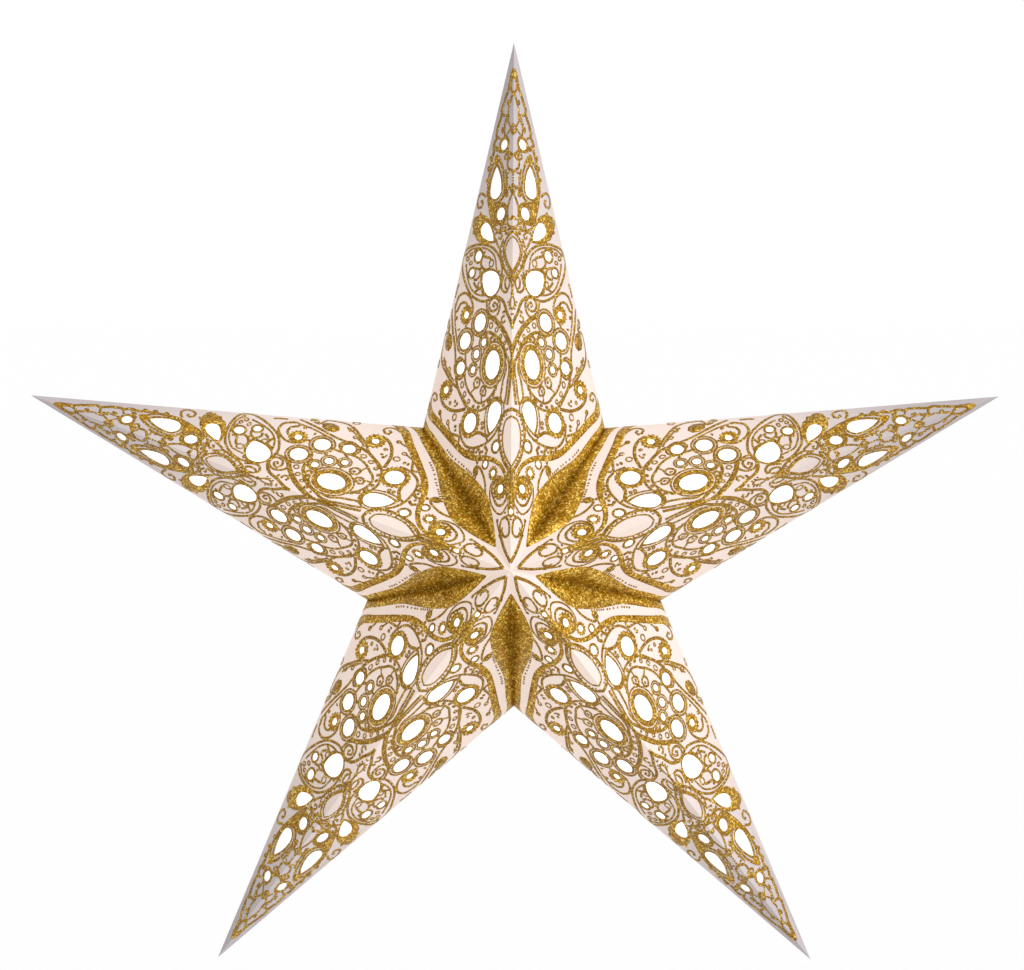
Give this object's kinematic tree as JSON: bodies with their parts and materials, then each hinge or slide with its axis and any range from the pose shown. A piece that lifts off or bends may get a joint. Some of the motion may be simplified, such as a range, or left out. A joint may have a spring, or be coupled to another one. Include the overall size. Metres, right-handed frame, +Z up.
{
  "type": "origami star",
  "caption": "Star-shaped folded paper lantern with cut-outs, a glowing translucent lining and a gold glitter filigree print.",
  "frame": {"origin": "centre of the star, on its middle plane", "axes": "+Z up along the top arm, which it hangs by; -Y is the front face and +Y the back; +X to the right as seen from the front"},
  "size_m": [0.5992, 0.22, 0.5698],
  "materials": {
    "card": "matt pinkish white card, 0.5 mm",
    "translucent_paper": "white translucent paper, lit from inside",
    "gold_glitter": "gold glitter in clear glue"
  },
  "bodies": {
    "root": {"top_arm_card": "card", "top_arm_liner": "translucent_paper", "top_arm_glitter_print": "gold_glitter", "upper_right_arm_card": "card", "upper_right_arm_liner": "translucent_paper", "upper_right_arm_glitter_print": "gold_glitter", "lower_right_arm_card": "card", "lower_right_arm_liner": "translucent_paper", "lower_right_arm_glitter_print": "gold_glitter", "lower_left_arm_card": "card", "lower_left_arm_liner": "translucent_paper", "lower_left_arm_glitter_print": "gold_glitter", "upper_left_arm_card": "card", "upper_left_arm_liner": "translucent_paper", "upper_left_arm_glitter_print": "gold_glitter"}
  },
  "joints": []
}
